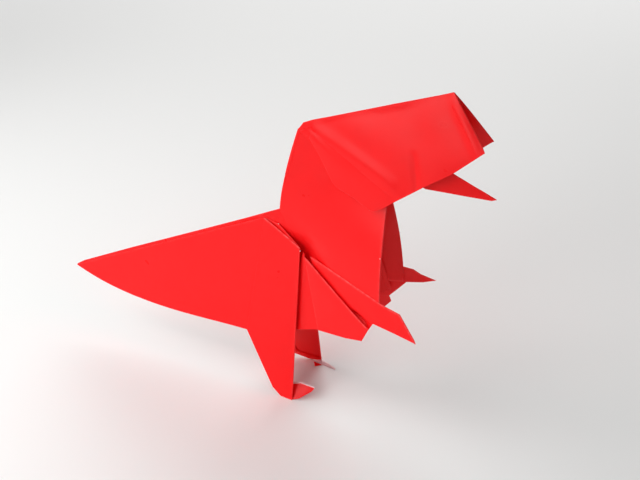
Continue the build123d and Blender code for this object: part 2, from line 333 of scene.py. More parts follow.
@dataclass
class Leaf:
    """One layer of paper between four borders.

    A left or right border that isn't given is straight. A held border is one that another
    leaf continues, so it stays where it is.
    """

    bottom: list[Vector]
    top: list[Vector]
    outward: Vector
    left: list[Vector] = field(default_factory=list)
    right: list[Vector] = field(default_factory=list)
    bend: Bend = field(default_factory=Bend)
    hems: tuple[Hem, ...] = ()
    dents: tuple[Dent, ...] = ()
    held: tuple[str, ...] = ()
    cell: float = 1.5
    back: bool = False  # the white back of the sheet shows outside

    NEAR_BORDER = (0.14, 0.32, 0.6, 1.0)  # distances of the extra grid lines beside a border
    NEAR_SHARE = 0.8  # of a cell: an extra line further in than this is left out
    CLOSEST = 0.1  # two grid lines nearer than this become one
    HOLD_LENGTH = 5.0  # how far a held bottom or top keeps the leaf still
    HOLD_SHARE = 0.12  # the same for a held left or right, as a share of the width
    DECIMALS = 6

    def __post_init__(self) -> None:
        """Draws the borders that weren't given."""
        self.left = self.left or [self.bottom[0], self.top[0]]
        self.right = self.right or [self.bottom[-1], self.top[-1]]

    def _shares(self, first: Border, second: Border) -> np.ndarray:
        """Grid positions between two facing borders, closer together near the ends.

        Args:
            first: one border.
            second: the facing one, which has the same grid.

        Returns:
            Rising shares from 0 to 1.
        """
        length = max(first.length, second.length)
        count = max(3, round(length / self.cell))
        corners = first.corners() + second.corners()
        shares = list(np.linspace(0.0, 1.0, count + 1))
        for distance in self.NEAR_BORDER:
            share = distance / max(length, SHORT)
            if share < self.NEAR_SHARE / count:
                shares += [share, 1.0 - share]
        fixed = set(np.round([0.0, 1.0, *corners], self.DECIMALS))
        kept = [0.0]
        for share in np.unique(np.round(shares + corners, self.DECIMALS))[1:]:
            if (share - kept[-1]) * length >= self.CLOSEST:
                kept.append(float(share))
            elif share in fixed and kept[-1] not in fixed:
                kept[-1] = float(share)
        kept[-1] = 1.0
        return np.array(kept)

    def grid(self) -> np.ndarray:
        """Points of the bent leaf.

        Returns:
            An array of rows by columns by 3, in millimetres.
        """
        bottom, top = Border(self.bottom), Border(self.top)
        left, right = Border(self.left), Border(self.right)
        us, vs = self._shares(bottom, top), self._shares(left, right)
        low = np.array([bottom.at(u) for u in us])
        high = np.array([top.at(u) for u in us])
        near = np.array([left.at(v) for v in vs])
        far = np.array([right.at(v) for v in vs])
        u, v = us[None, :, None], vs[:, None, None]
        points = (1 - v) * low[None] + v * high[None]
        points = points + (1 - u) * near[:, None] + u * far[:, None]
        points -= (1 - u) * (1 - v) * low[0] + u * (1 - v) * low[-1]
        points -= (1 - u) * v * high[0] + u * v * high[-1]
        return self._bent(points, us, vs)

    def _normal(self, points: np.ndarray) -> np.ndarray:
        """Outward normal of the whole leaf.

        Args:
            points: the flat grid.

        Returns:
            A vector of length 1.
        """
        out = np.array(self.outward, float)
        normal = np.cross(points[-1, -1] - points[0, 0], points[-1, 0] - points[0, -1])
        if np.linalg.norm(normal) < SHORT:
            normal = out.copy()
        normal /= np.linalg.norm(normal)
        return normal if normal @ out > 0 else -normal

    def _freedom(self, points: np.ndarray, us: np.ndarray, vs: np.ndarray) -> np.ndarray:
        """How freely each grid point may bend: not at all at a held border, fully away from it.

        Args:
            points: the flat grid.
            us: its positions from left to right.
            vs: its positions from bottom to top.

        Returns:
            Values from 0 to 1, in rows and columns.
        """
        height = max(np.linalg.norm(points[-1] - points[0], axis=1).max(), SHORT)
        reach = min(1.0, self.HOLD_LENGTH / height)
        free = np.ones((len(vs), len(us)))
        if "bottom" in self.held:
            free *= np.minimum(vs / reach, 1.0)[:, None]
        if "top" in self.held:
            free *= np.minimum((1 - vs) / reach, 1.0)[:, None]
        if "left" in self.held:
            free *= np.minimum(us / self.HOLD_SHARE, 1.0)[None, :]
        if "right" in self.held:
            free *= np.minimum((1 - us) / self.HOLD_SHARE, 1.0)[None, :]
        return free * free * (3 - 2 * free)

    def _bent(self, points: np.ndarray, us: np.ndarray, vs: np.ndarray) -> np.ndarray:
        """Adds the swell, the slow waves and the pressed lines.

        Args:
            points: the flat grid.
            us: its positions from left to right.
            vs: its positions from bottom to top.

        Returns:
            The bent grid.
        """
        normal = self._normal(points)
        free = self._freedom(points, us, vs)
        span = np.outer(4 * vs * (1 - vs), 4 * us * (1 - us))
        bent = points.copy()
        for j, i in np.ndindex(len(vs), len(us)):
            point = points[j, i]
            push = (self.bend.swell * span[j, i] + self.bend.ripple_at(point)) * free[j, i]
            for dent in self.dents:
                push += dent.height_at(point)
            bent[j, i] = point + normal * push
        return bent

    def add_to(self, sheet: "Sheet") -> None:
        """Adds the leaf and its hems to a sheet.

        Args:
            sheet: the sheet that the leaf belongs to.
        """
        points = self.grid()
        sheet.add_grid(points, self.outward, self.back)
        for hem in self.hems:
            sheet.add_hem(points, hem, self.outward, self.back)


# Sheets


class Sheet:
    """The mesh of one sub-assembly, made of leaves that are welded where they meet."""

    WELD = 0.02
    WEAR_AND_HIGHLIGHT_WIDTH = 0.4  # how far the pale line, partly wear and partly painted highlight, reaches from a folded edge
    FACE_AREA = 1e-5  # a smaller face has no sure direction
    TURN_FACE_AREA = 1e-7  # the same in a hem, whose faces are narrow
    FOLD_WEIGHT = 1.2  # a fold is rounded fully up to 0.2 radii from its line, and not beyond 1.2
    SMOOTHING = 0.5

    def __init__(self, name: str, thickness: float = 0.13) -> None:
        """Starts an empty sheet.

        Args:
            name: the piece's name.
            thickness: of the paper, in millimetres.
        """
        self.name = name
        self.thickness = thickness
        self.mesh = bmesh.new()
        self.fold_lines: list[tuple[np.ndarray, float]] = []

    def _add_faces(
        self, points: np.ndarray, back: bool
    ) -> tuple[list[list[bmesh.types.BMVert]], list[bmesh.types.BMFace]]:
        """Adds the faces of a grid.

        Args:
            points: rows by columns by 3, in millimetres.
            back: True if the white back of the sheet shows outside.

        Returns:
            The corners in rows, and the faces.
        """
        rows, columns, _ = points.shape
        verts = [[self.mesh.verts.new(points[j, i]) for i in range(columns)] for j in range(rows)]
        faces = []
        for j, i in np.ndindex(rows - 1, columns - 1):
            ring = [verts[j][i], verts[j][i + 1], verts[j + 1][i + 1], verts[j + 1][i]]
            face = self.mesh.faces.new(ring)
            face.smooth = True
            face.material_index = Rim.WHITE.value if back else Rim.RED.value
            face.normal_update()
            faces.append(face)
        return verts, faces

    def add_grid(self, points: np.ndarray, outward: Vector, back: bool = False) -> None:
        """Adds a grid of points as faces that look outward.

        Args:
            points: rows by columns by 3, in millimetres.
            outward: the rough direction of the outside.
            back: True if the white back of the sheet shows outside.
        """
        flip = None
        for face in self._add_faces(points, back)[1]:
            if flip is None and face.calc_area() > self.FACE_AREA:
                flip = face.normal.dot(outward) < 0
            if flip:
                face.normal_flip()

    def add_hem(self, points: np.ndarray, hem: Hem, outward: Vector, back: bool = False) -> None:
        """Turns the sheet round one border of a leaf.

        Args:
            points: the leaf's grid.
            hem: which border, how deep, and how tight.
            outward: the rough direction of the outside.
            back: True if the white back of the sheet shows outside.
        """
        ordered = {
            "top": points[::-1],
            "bottom": points,
            "left": points.transpose(1, 0, 2),
            "right": points.transpose(1, 0, 2)[::-1],
        }[hem.border]
        edge, inner = ordered[0], ordered[min(Hem.INNER_ROW, len(ordered) - 1)]
        lengths = np.concatenate([[0.0], np.cumsum(np.linalg.norm(np.diff(edge, axis=0), axis=1))])
        to_ends = np.minimum(lengths, lengths[-1] - lengths)
        out = np.array(outward, float)
        paths = [hem.turned(edge, inner, i, to_ends[i], out) for i in range(len(edge))]
        self._add_turn(np.array(paths).transpose(1, 0, 2), back)
        self.fold_lines.append((edge.copy(), hem.wear_and_highlight))

    def _add_turn(self, grid: np.ndarray, back: bool) -> None:
        """Adds a turned border as faces that look away from the middle of the turn.

        Args:
            grid: rows along the border, from the outer face round to the hem's inner end.
            back: True if the white back of the sheet shows outside.
        """
        verts, faces = self._add_faces(grid, back)
        middle, half = grid.shape[1] // 2, Hem.TURN_STEPS // 2
        centre = (grid[0, middle] + grid[Hem.TURN_STEPS, middle]) / 2
        away = Vector(grid[half, middle] - centre)
        beside = [face for vert in verts[half - 1][middle : middle + 2] for face in vert.link_faces]
        sure = [face for face in beside if face.calc_area() > self.TURN_FACE_AREA]
        if sure and sure[0].normal.dot(away) < 0:
            for face in faces:
                face.normal_flip()

    def weld(self) -> None:
        """Joins leaves along the borders that they share."""
        bmesh.ops.remove_doubles(self.mesh, verts=self.mesh.verts, dist=self.WELD)

    def _places(self) -> np.ndarray:
        """Places of all vertices, in rows."""
        return np.array([tuple(v.co) for v in self.mesh.verts], float)

    def _distances(self, line: np.ndarray) -> np.ndarray:
        """Distance of every vertex from a line.

        Args:
            line: its points, in rows.

        Returns:
            One distance for each vertex, in millimetres.
        """
        points = self._places()
        best = np.full(len(points), np.inf)
        for start, end in zip(line[:-1], line[1:]):
            along = end - start
            size = float(along @ along)
            if size < NO_LENGTH:
                continue
            share = np.clip((points - start) @ along / size, 0.0, 1.0)
            away = np.linalg.norm(points - start - share[:, None] * along, axis=1)
            best = np.minimum(best, away)
        return best

    def round_fold(self, *points: Vector, radius: float = 0.7, passes: int = 2) -> None:
        """Rounds the fold along a line where two leaves meet.

        Args:
            points: the line.
            radius: how far from the line the paper bends.
            passes: how often it is smoothed.
        """
        self.mesh.verts.ensure_lookup_table()
        line = np.array([tuple(p) for p in points], float)
        weights = np.clip(self.FOLD_WEIGHT - self._distances(line) / radius, 0.0, 1.0)
        first, last = (np.linalg.norm(self._places() - line[k], axis=1) for k in (0, -1))
        weights *= np.clip(np.minimum(first, last) / (2 * radius), 0.0, 1.0)
        near = [i for i in range(len(weights)) if weights[i] > 0 and not self.mesh.verts[i].is_boundary]
        for _ in range(passes):
            moved = {}
            for i in near:
                vert = self.mesh.verts[i]
                others = [e.other_vert(vert).co for e in vert.link_edges]
                middle = sum(others, Vector()) / len(others)
                moved[i] = vert.co.lerp(middle, self.SMOOTHING * weights[i])
            for i, place in moved.items():
                self.mesh.verts[i].co = place

    def _mark_wear_and_highlight(self) -> None:
        """Writes how pale each vertex is painted near the folds, partly as wear and partly as a painted
        highlight, for the material.
        """
        wear_and_highlight = np.zeros(len(self.mesh.verts))
        # Each folded edge is painted pale: partly wear of the dye, partly a painted highlight.
        for line, amount in self.fold_lines:
            near = np.exp(-((self._distances(line) / self.WEAR_AND_HIGHLIGHT_WIDTH) ** 2))
            wear_and_highlight = np.maximum(wear_and_highlight, amount * near)
        layer = self.mesh.verts.layers.float.new("crease")
        for vert, amount in zip(self.mesh.verts, wear_and_highlight):
            vert[layer] = float(amount)

    def finish(self, materials: Sequence[bpy.types.Material], rim: Rim) -> bpy.types.Object:
        """Turns the sheet into a piece of the scene.

        Args:
            materials: the red face and the white back, in the order of Rim.
            rim: what shows at cut edges.

        Returns:
            The piece, riding on the part's body.
        """
        loose = [v for v in self.mesh.verts if not v.link_faces]
        bmesh.ops.delete(self.mesh, geom=loose, context="VERTS")
        self._mark_wear_and_highlight()
        to_frame = Matrix.Scale(MM, 4) @ Matrix.Translation(SHIFT)
        bmesh.ops.transform(self.mesh, matrix=to_frame, verts=self.mesh.verts)
        data = bpy.data.meshes.new(self.name)
        self.mesh.to_mesh(data)
        self.mesh.free()
        piece = bpy.data.objects.new(self.name, data)
        bpy.context.scene.collection.objects.link(piece)
        for material in materials:
            data.materials.append(material)
        solid = piece.modifiers.new("thickness", "SOLIDIFY")
        solid.thickness = self.thickness * MM
        solid.offset = -1.0
        solid.use_quality_normals = True
        solid.material_offset_rim = rim.value
        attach(piece, BODY)
        log.info("%s: %d faces, %.2f mm thick paper", self.name, len(data.polygons), self.thickness)
        return piece


# Finishes


@dataclass(frozen=True)
class PaperFinish:
    """Coated origami paper on one side of the sheet."""

    name: str
    colour: Triple
    wear_and_highlight: Triple  # pale colour along the folds: partly wear of the dye, partly a painted highlight
    roughness: float = 0.5
    specular: float = 0.2
    mottle: float = 0.05
    grain: float = 0.1

    def material(self, group: bpy.types.NodeTree) -> bpy.types.Material:
        """Makes the material.

        Args:
            group: the shared paper group.

        Returns:
            The material.
        """
        made = bpy.data.materials.new(self.name)
        made.use_nodes = True
        nodes, links = made.node_tree.nodes, made.node_tree.links
        shader = nodes["Principled BSDF"]
        paper = nodes.new("ShaderNodeGroup")
        paper.node_tree = group
        paper.inputs["Colour"].default_value = (*self.colour, 1.0)
        paper.inputs["Worn"].default_value = (*self.wear_and_highlight, 1.0)
        paper.inputs["Mottle"].default_value = self.mottle
        paper.inputs["Grain"].default_value = self.grain
        paper.inputs["Roughness"].default_value = self.roughness
        links.new(paper.outputs["Colour"], shader.inputs["Base Color"])
        links.new(paper.outputs["Roughness"], shader.inputs["Roughness"])
        links.new(paper.outputs["Normal"], shader.inputs["Normal"])
        shader.inputs["Specular IOR Level"].default_value = self.specular
        return made


@dataclass(frozen=True)
class PaperGroup:
    """Shared node group: fibres, slow mottling and pale folds, partly wear and partly painted highlight.
    Scales are waves to the metre.
    """

    mottle_scale: float = 90.0
    mottle_range: Pair = (0.3, 0.7)
    fibre_scale: float = 2600.0
    fibre_height: float = 0.00002  # in metres
    fray_scale: float = 700.0  # breaks up the pale line along a fold
    fray_range: Pair = (0.25, 0.75)
    gloss_change: float = 0.12  # how much the mottling changes the roughness

    SOCKETS = (
        ("Colour", "INPUT", "NodeSocketColor"),
        ("Worn", "INPUT", "NodeSocketColor"),
        ("Mottle", "INPUT", "NodeSocketFloat"),
        ("Grain", "INPUT", "NodeSocketFloat"),
        ("Roughness", "INPUT", "NodeSocketFloat"),
        ("Colour", "OUTPUT", "NodeSocketColor"),
        ("Roughness", "OUTPUT", "NodeSocketFloat"),
        ("Normal", "OUTPUT", "NodeSocketVector"),
    )

    def build(self) -> bpy.types.NodeTree:
        """Makes the group.

        Returns:
            The node tree.
        """
        tree = bpy.data.node_groups.new("paper_surface", "ShaderNodeTree")
        for name, way, kind in self.SOCKETS:
            tree.interface.new_socket(name=name, in_out=way, socket_type=kind)
        inputs, outputs = tree.nodes.new("NodeGroupInput"), tree.nodes.new("NodeGroupOutput")
        where = tree.nodes.new("ShaderNodeTexCoord").outputs["Object"]
        mottle = self._mottle(tree, where)
        toned = self._toned(tree, inputs, mottle)
        results = {
            "Colour": self._wear_and_highlight(tree, inputs, where, toned),
            "Roughness": self._roughness(tree, inputs, mottle),
            "Normal": self._fibres(tree, inputs, where),
        }
        for name, socket in results.items():
            tree.links.new(socket, outputs.inputs[name])
        return tree

    def _mottle(self, tree: bpy.types.NodeTree, where: bpy.types.NodeSocket) -> bpy.types.NodeSocket:
        """Slow mottling.

        Args:
            tree: the group.
            where: the coordinates.

        Returns:
            A value around 0.
        """
        slow = self._noise(tree, where, self.mottle_scale, 3.0)
        centred = tree.nodes.new("ShaderNodeMath")
        centred.operation = "SUBTRACT"
        tree.links.new(self._spread(tree, slow, self.mottle_range), centred.inputs[0])
        centred.inputs[1].default_value = 0.5
        return centred.outputs[0]

    @staticmethod
    def _toned(
        tree: bpy.types.NodeTree, inputs: bpy.types.Node, mottle: bpy.types.NodeSocket
    ) -> bpy.types.NodeSocket:
        """The paper's colour with the mottling in it.

        Args:
            tree: the group.
            inputs: the group's input node.
            mottle: the mottling.

        Returns:
            The colour.
        """
        shade = tree.nodes.new("ShaderNodeMath")
        shade.operation = "MULTIPLY_ADD"
        tree.links.new(mottle, shade.inputs[0])
        tree.links.new(inputs.outputs["Mottle"], shade.inputs[1])
        shade.inputs[2].default_value = 1.0
        toned = tree.nodes.new("ShaderNodeHueSaturation")
        tree.links.new(inputs.outputs["Colour"], toned.inputs["Color"])
        tree.links.new(shade.outputs[0], toned.inputs["Value"])
        return toned.outputs["Color"]

    def _wear_and_highlight(
        self,
        tree: bpy.types.NodeTree,
        inputs: bpy.types.Node,
        where: bpy.types.NodeSocket,
        toned: bpy.types.NodeSocket,
    ) -> bpy.types.NodeSocket:
        """The colour with pale, broken lines along the folds: partly wear of the dye, partly a painted
        highlight.

        Args:
            tree: the group.
            inputs: the group's input node.
            where: the coordinates.
            toned: the paper's colour.

        Returns:
            The colour.
        """
        crease = tree.nodes.new("ShaderNodeAttribute")
        crease.attribute_name = "crease"
        fray = self._noise(tree, where, self.fray_scale, 2.0)
        broken = tree.nodes.new("ShaderNodeMath")
        broken.operation = "MULTIPLY"
        tree.links.new(crease.outputs["Fac"], broken.inputs[0])
        tree.links.new(self._spread(tree, fray, self.fray_range), broken.inputs[1])
        mixed = tree.nodes.new("ShaderNodeMix")
        mixed.data_type = "RGBA"
        tree.links.new(broken.outputs[0], mixed.inputs["Factor"])
        tree.links.new(toned, mixed.inputs["A"])
        tree.links.new(inputs.outputs["Worn"], mixed.inputs["B"])
        return mixed.outputs["Result"]

    def _roughness(
        self, tree: bpy.types.NodeTree, inputs: bpy.types.Node, mottle: bpy.types.NodeSocket
    ) -> bpy.types.NodeSocket:
        """The roughness, which changes a little with the mottling.

        Args:
            tree: the group.
            inputs: the group's input node.
            mottle: the mottling.

        Returns:
            The roughness.
        """
        rough = tree.nodes.new("ShaderNodeMath")
        rough.operation = "MULTIPLY_ADD"
        tree.links.new(mottle, rough.inputs[0])
        rough.inputs[1].default_value = self.gloss_change
        tree.links.new(inputs.outputs["Roughness"], rough.inputs[2])
        return rough.outputs[0]

    def _fibres(
        self, tree: bpy.types.NodeTree, inputs: bpy.types.Node, where: bpy.types.NodeSocket
    ) -> bpy.types.NodeSocket:
        """Fine fibres.

        Args:
            tree: the group.
            inputs: the group's input node.
            where: the coordinates.

        Returns:
            The normal.
        """
        bump = tree.nodes.new("ShaderNodeBump")
        bump.inputs["Distance"].default_value = self.fibre_height
        tree.links.new(inputs.outputs["Grain"], bump.inputs["Strength"])
        tree.links.new(self._noise(tree, where, self.fibre_scale, 4.0), bump.inputs["Height"])
        return bump.outputs["Normal"]

    @staticmethod
    def _noise(
        tree: bpy.types.NodeTree, where: bpy.types.NodeSocket, scale: float, detail: float
    ) -> bpy.types.NodeSocket:
        """A noise texture in the piece's own coordinates.

        Args:
            tree: the group.
            where: the coordinates.
            scale: waves to the metre.
            detail: how many finer layers it has.

        Returns:
            Its value.
        """
        made = tree.nodes.new("ShaderNodeTexNoise")
        made.inputs["Scale"].default_value = scale
        made.inputs["Detail"].default_value = detail
        tree.links.new(where, made.inputs["Vector"])
        return made.outputs["Fac"]

    @staticmethod
    def _spread(tree: bpy.types.NodeTree, value: bpy.types.NodeSocket, span: Pair) -> bpy.types.NodeSocket:
        """A value spread from a narrow span to 0..1.

        Args:
            tree: the group.
            value: the value.
            span: the values that become 0 and 1.

        Returns:
            The spread value.
        """
        made = tree.nodes.new("ShaderNodeMapRange")
        made.inputs["From Min"].default_value, made.inputs["From Max"].default_value = span
        tree.links.new(value, made.inputs["Value"])
        return made.outputs["Result"]


# Sub-assemblies


@dataclass
class Assembly:
    """A group of leaves that make one piece of the dinosaur."""

    marks: Landmarks
    materials: Sequence[bpy.types.Material]
    name: str = "piece"
    rim: Rim = Rim.RED  # what shows at cut edges

    MIDDLE = 0.02  # no leaf drawn on a width comes nearer to the middle plane

    @staticmethod
    def out(side: Side) -> Vector:
        """Outward direction of one side."""
        return Vector((0.0, side.value, 0.0))

    @staticmethod
    def spot(side: Side, point: Pair, width: float) -> Vector:
        """Point in space on one side."""
        return Vector((point[0], side.value * width, point[1]))

    def spots(self, side: Side, corners: Iterable[Triple]) -> list[Vector]:
        """Points in space of corners that are given as (x, half width, z)."""
        return [self.spot(side, (x, z), width) for x, width, z in corners]

    def line(self, side: Side, width: Width, points: Iterable[Pair], lift: float = 0.0) -> list[Vector]:
        """Points in space of side view points on a leaf.

        Args:
            side: which side of the animal.
            width: the leaf's half width.
            points: side view points.
            lift: how far the leaf lies outside that width.

        Returns:
            The points.
        """
        return [self.spot(side, p, max(self.MIDDLE, width(*p) + lift)) for p in points]

    @staticmethod
    def middle_line(points: Iterable[Pair]) -> list[Vector]:
        """Points in space of side view points on the middle plane."""
        return [Vector((x, 0.0, z)) for x, z in points]

    @staticmethod
    def edge_hem(side: Side, border: str, depth: float, wear_and_highlight: float = 0.6) -> Hem:
        """A folded border. The left side's inner face shows, and there the fold is a bare rim.

        Args:
            side: which side of the animal.
            border: which border of the leaf.
            depth: how far the hem runs back on the right side.
            wear_and_highlight: how pale its edge is painted there, partly as wear and partly as a painted
                highlight.

        Returns:
            The hem.
        """
        if side is Side.RIGHT:
            return Hem(border, depth=depth, wear_and_highlight=wear_and_highlight)
        return Hem(border, depth=0.35, radius=0.15, wear_and_highlight=0.1, tapered=False)

    def add_side(self, sheet: Sheet, side: Side) -> None:
        """Adds the leaves of one side."""
        raise NotImplementedError

    def round_folds(self, sheet: Sheet) -> None:
        """Rounds the folds where both sides meet. Most pieces have none."""

    def build(self) -> bpy.types.Object:
        """Builds the piece.

        Returns:
            The finished piece.
        """
        sheet = Sheet(self.name)
        for side in Side:
            self.add_side(sheet, side)
        sheet.weld()
        self.round_folds(sheet)
        return sheet.finish(self.materials, self.rim)


@dataclass
class TailAndLegs(Assembly):
    """Outer leaves of the tail and the hind legs, with a folded front edge and hip pleat."""

    name: str = "tail_and_legs"
    hock: Pair = (-20.4, 22.1)
    heel: Pair = (-8.3, 2.5)
    sole_back: Pair = (-4.7, 0.0)
    far_sole: tuple[Pair, ...] = ((-10.2, 1.5), (-5.0, 0.38), (0.41, 0.0))
    tail_sag: float = 3.8
    tail_skew: float = 0.5
    pleat_start: Pair = (-15.2, 67.4)
    lift: float = 0.22
    pleat_lift: float = 0.55
    hip_lift: float = 0.65  # how far the folded hip stands out over the neck

    def add_side(self, sheet: Sheet, side: Side) -> None:
        """Adds the tail and the leg of one side.

        Args:
            sheet: the piece's sheet.
            side: which side of the animal.
        """
        width = self.marks.leg_width()
        tip, start, hip = self.marks.tail_tip, self.pleat_start, self.marks.hip_point
        raised_start = self.spot(side, start, width(*start) + self.pleat_lift)
        raised_hip = self.spot(side, hip, width(*hip) + self.hip_lift)
        near = side is Side.RIGHT
        sole = (self.heel, self.sole_back, self.marks.sole) if near else self.far_sole
        foot = self.line(side, width, [self.hock, *sole], self.lift)
        under = [tip, *bow(tip, self.hock, self.tail_sag, self.tail_skew)]
        upper = self.line(side, width, [tip, between(tip, start, 0.5)], self.lift)
        bend = Bend(swell=0.0, ripple=0.1, wave=30.0, seed=2.0 + side.value)
        sole_hem = Hem("bottom", depth=2.2, wear_and_highlight=0.0, tapered=False)
        Leaf(
            bottom=self.line(side, width, under, self.lift),
            top=[*upper, raised_start],
            right=[foot[0], raised_start],
            outward=self.out(side),
            bend=bend,
            hems=(Hem("top", depth=2.0, wear_and_highlight=0.1),),
            held=("right",),
        ).add_to(sheet)
        Leaf(
            bottom=foot,
            top=[raised_start, raised_hip],
            outward=self.out(side),
            bend=bend,
            hems=(
                self.edge_hem(side, "right", 3.5, 0.1),
                Hem("top", depth=2.5, wear_and_highlight=0.8),
                *(() if near else (sole_hem,)),
            ),
            held=("left",),
        ).add_to(sheet)


@dataclass
class Back(Assembly):
    """Inner leaves: the ridge of the tail, the back at the hip and the pleat's second layer."""

    name: str = "ridge_and_pleats"
    pleat_start: Pair = (-17.0, 67.5)
    peek: Pair = (-9.5, 66.2)
    hidden: Pair = (-12.0, 54.6)
    neck_corner: Pair = (-3.2, 61.3)
    depth: float = 6.0  # how far the ridge leaf runs down behind the tail
    middle_forward: float = 1.5  # of the tail's middle, to the corner halfway along the leaf
    behind_tail: float = 0.3  # how far that corner lies inside the tail's outer leaf
    least_width: float = 0.1
    low_move: Pair = (-2.0, 3.0)  # from hidden to the ridge leaf's lower corner
    hip_width: float = 1.0
    tip_move: Pair = (0.5, -0.5)  # from the hip point to the second layer's tip
    tip_lift: float = 0.45
    start_move: Pair = (0.5, -3.0)  # from the pleat's start to the second layer's lower corner
    low_lift: float = -0.35
    ridge_shares: tuple[float, ...] = (0.0, 0.04, 0.3, 0.6, 0.85, 1.0)
    ridge_rise: tuple[float, ...] = (0.4, 1.05, 1.1, 0.75, 0.55, 0.65)  # the ridge bows up a little

    def add_side(self, sheet: Sheet, side: Side) -> None:
        """Adds the ridge leaf and the second layer of one side."""
        self._ridge(sheet, side)
        self._second(sheet, side)

    def round_folds(self, sheet: Sheet) -> None:
        """Rounds the ridge."""
        sheet.round_fold(*self.middle_line(self._ridge_points()))

    def _ridge_points(self) -> list[Pair]:
        """Side view points of the ridge.

        Returns:
            The points from the tail tip to the hip.
        """
        tip, hip = self.marks.tail_tip, self.marks.hip
        rises = zip(self.ridge_shares, self.ridge_rise)
        return [offset(between(tip, hip, share), 0.0, rise) for share, rise in rises]

    def _ridge(self, sheet: Sheet, side: Side) -> None:
        """Adds the inner leaf that carries the ridge on one side.

        Args:
            sheet: the piece's sheet.
            side: which side of the animal.
        """
        marks = self.marks
        leg = marks.leg_width()
        near_neck = flat(
            (self.pleat_start[0], 0.0, self.pleat_start[1]),
            (marks.hip[0], 0.0, marks.hip[1]),
            (marks.hip_point[0], self.hip_width, marks.hip_point[1]),
        )
        low = offset(self.hidden, *self.low_move)
        middle = offset(between(marks.tail_tip, self.pleat_start, 0.5), self.middle_forward, -self.depth)
        Leaf(
            bottom=[
                self.spot(side, marks.tail_tip, 0.0),
                self.spot(side, middle, max(self.least_width, leg(*middle) - self.behind_tail)),
                self.spot(side, low, near_neck(*low)),
                self.spot(side, self.neck_corner, near_neck(*self.neck_corner)),
            ],
            top=[self.spot(side, p, 0.0) for p in self._ridge_points()],
            outward=self.out(side),
            bend=Bend(swell=0.0, ripple=0.0),
            held=("top",),
            cell=1.8,
        ).add_to(sheet)

    def _second(self, sheet: Sheet, side: Side) -> None:
        """Adds the layer that peeks out beyond the raised pleat.

        Args:
            sheet: the piece's sheet.
            side: which side of the animal.
        """
        leg = self.marks.leg_width()
        point = offset(self.marks.hip_point, *self.tip_move)
        tip = self.spot(side, point, leg(*point) + self.tip_lift)
        low = [offset(self.pleat_start, *self.start_move), self.hidden]
        Leaf(
            bottom=[*self.line(side, leg, low, self.low_lift), tip],
            top=[*self.line(side, leg, [self.pleat_start, self.peek]), tip],
            outward=self.out(side),
            bend=Bend(swell=0.1, ripple=0.0),
            hems=(Hem("top", depth=1.2, radius=0.15, wear_and_highlight=0.25),),
            cell=1.0,
        ).add_to(sheet)


@dataclass
class Feet(Assembly):
    """Toes: the right one is raised, the left one lies almost flat beside a leaf on the floor.

    The corners are given as (x, half width, z).
    """

    name: str = "toes"
    rim: Rim = Rim.WHITE
    cell: float = 0.5
    raised_top: tuple[Triple, ...] = ((-1.1, 8.9, 4.9), (0.7, 8.5, 5.3), (1.7, 8.2, 5.6), (7.2, 8.0, 5.0))
    raised_low: tuple[Triple, ...] = ((0.0, 12.2, 0.1), (2.3, 11.5, 0.8), (6.5, 9.0, 3.8))
    rim_move: Pair = (0.1, 0.35)  # from the raised toe's top to the top of its white rim, in Y and Z
    rim_back: Pair = (-0.2, -0.05)  # the same to the rim's lower edge
    flat_top: tuple[Triple, ...] = (
        (-4.3, 12.2, 0.6),
        (-2.0, 12.0, 0.7),
        (0.6, 12.3, 0.8),
        (3.7, 11.6, 0.7),
        (7.2, 10.2, 0.4),
    )
    flat_low: tuple[Triple, ...] = (
        (-4.3, 11.9, 0.1),
        (-2.0, 11.5, 0.1),
        (1.3, 10.5, 0.1),
        (4.0, 10.2, 0.1),
        (7.2, 9.7, 0.1),
    )
    floor_leaf: tuple[Triple, ...] = ((-2.2, 10.9, 0.15), (1.7, 10.2, 0.2), (-0.5, 8.4, 0.15))

    def add_side(self, sheet: Sheet, side: Side) -> None:
        """Adds the toe of one foot."""
        add_toe = self._raised if side is Side.RIGHT else self._flat
        add_toe(sheet, side)

    def _raised(self, sheet: Sheet, side: Side) -> None:
        """Adds the raised toe and its white rim.

        Args:
            sheet: the piece's sheet.
            side: which side of the animal.
        """
        upper = self.spots(side, self.raised_top)
        Leaf(
            bottom=self.spots(side, self.raised_low),
            top=upper,
            outward=self.out(side),
            bend=Bend(swell=0.15, ripple=0.05, wave=4.0, seed=3.0),
            cell=self.cell,
        ).add_to(sheet)
        rim, back = (
            [Vector((p.x, p.y + across, p.z + up)) for p in upper]
            for across, up in (self.rim_move, self.rim_back)
        )
        Leaf(
            bottom=back,
            top=rim,
            outward=self.out(side),
            bend=Bend(swell=0.0, ripple=0.0),
            cell=self.cell,
            back=True,
        ).add_to(sheet)

    def _flat(self, sheet: Sheet, side: Side) -> None:
        """Adds the flat toe and the leaf that lies on the floor.

        Args:
            sheet: the piece's sheet.
            side: which side of the animal.
        """
        Leaf(
            bottom=self.spots(side, self.flat_low),
            top=self.spots(side, self.flat_top),
            outward=-self.out(side),
            bend=Bend(swell=0.1, ripple=0.1, wave=3.0, seed=5.0),
            cell=self.cell,
            back=True,
        ).add_to(sheet)
        rear, front, inner = self.spots(side, self.floor_leaf)
        Leaf(
            bottom=[rear, front],
            top=[inner, inner],
            outward=Vector((0.0, 0.0, 1.0)),
            bend=Bend(swell=0.1, ripple=0.0),
            cell=self.cell,
        ).add_to(sheet)


